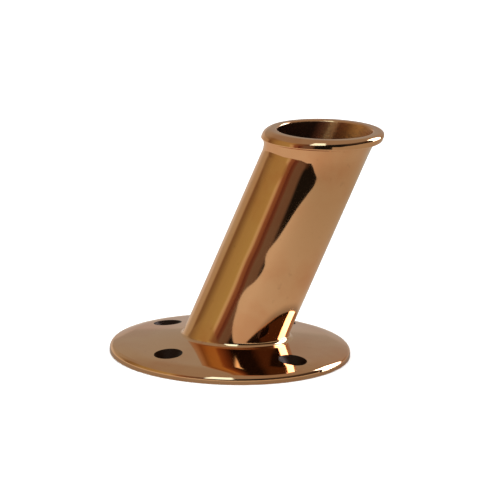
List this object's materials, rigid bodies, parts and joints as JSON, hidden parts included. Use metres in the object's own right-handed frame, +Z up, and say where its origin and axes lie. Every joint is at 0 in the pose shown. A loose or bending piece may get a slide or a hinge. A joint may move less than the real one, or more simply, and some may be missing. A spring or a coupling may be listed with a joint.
{
  "type": "raked stanchion base",
  "caption": "Raked tubular socket with a level beaded mouth, brazed to a round low-coned flange with countersunk fixing holes and a set screw.",
  "frame": {"origin": "centre of the flange's flat underside, on the deck", "axes": "+Z up, away from the deck; the tube leans towards +X, so XZ is the plane of the rake; the set screw is on the +Y side"},
  "size_m": [0.0778, 0.07, 0.067],
  "materials": {
    "bronze": "mirror polished",
    "braze": "polished",
    "steel": "machined"
  },
  "bodies": {
    "base": {"flange": "bronze", "socket_tube": "bronze", "rim_bead": "bronze", "foot_fillet": "braze", "rim_fillet": "braze", "boss_fillet": "braze", "stop_seam": "braze", "stop_disc": "bronze", "screw_boss": "bronze"},
    "set_screw": {"set_screw": "steel"}
  },
  "joints": [
    {"name": "set_screw_travel", "type": "slide", "parent": "base", "child": "set_screw", "axis": [0, 1, 0], "range_m": [-0.0027, 0.0025]}
  ]
}
